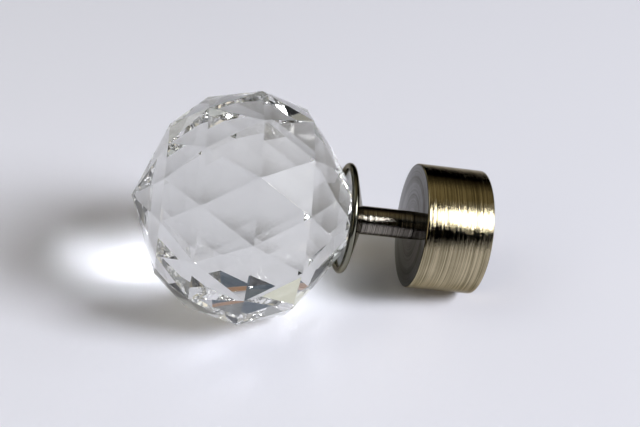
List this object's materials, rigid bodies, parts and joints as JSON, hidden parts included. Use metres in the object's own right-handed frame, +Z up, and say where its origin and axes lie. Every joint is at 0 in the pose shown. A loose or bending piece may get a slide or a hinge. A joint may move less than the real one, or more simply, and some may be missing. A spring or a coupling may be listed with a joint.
{
  "type": "curtain rod finial",
  "caption": "Faceted clear crystal ball on a thin metal neck, with a round brushed end cap that slips over the end of a curtain pole.",
  "frame": {"origin": "centre of the box's underside, on the surface the finial lies on", "axes": "+Z up from the surface; +X level, from the crystal ball towards the end cap's open mouth; +Y away from the picture's viewer. The finial's own axis leans 12.2 degrees down from +X."},
  "size_m": [0.0904, 0.0584, 0.0571],
  "materials": {
    "crystal": "clear cut crystal, polished flat facets, see-through",
    "cup_metal": "polished antique brass, grey-green, with a rolled rim",
    "neck_metal": "turned antique brass with fine lines round it",
    "cap_metal": "antique brass brushed round the axis, polished flat face"
  },
  "bodies": {
    "root": {"crystal_ball": "crystal", "cup": "cup_metal", "neck": "neck_metal", "end_cap": "cap_metal"}
  },
  "joints": []
}
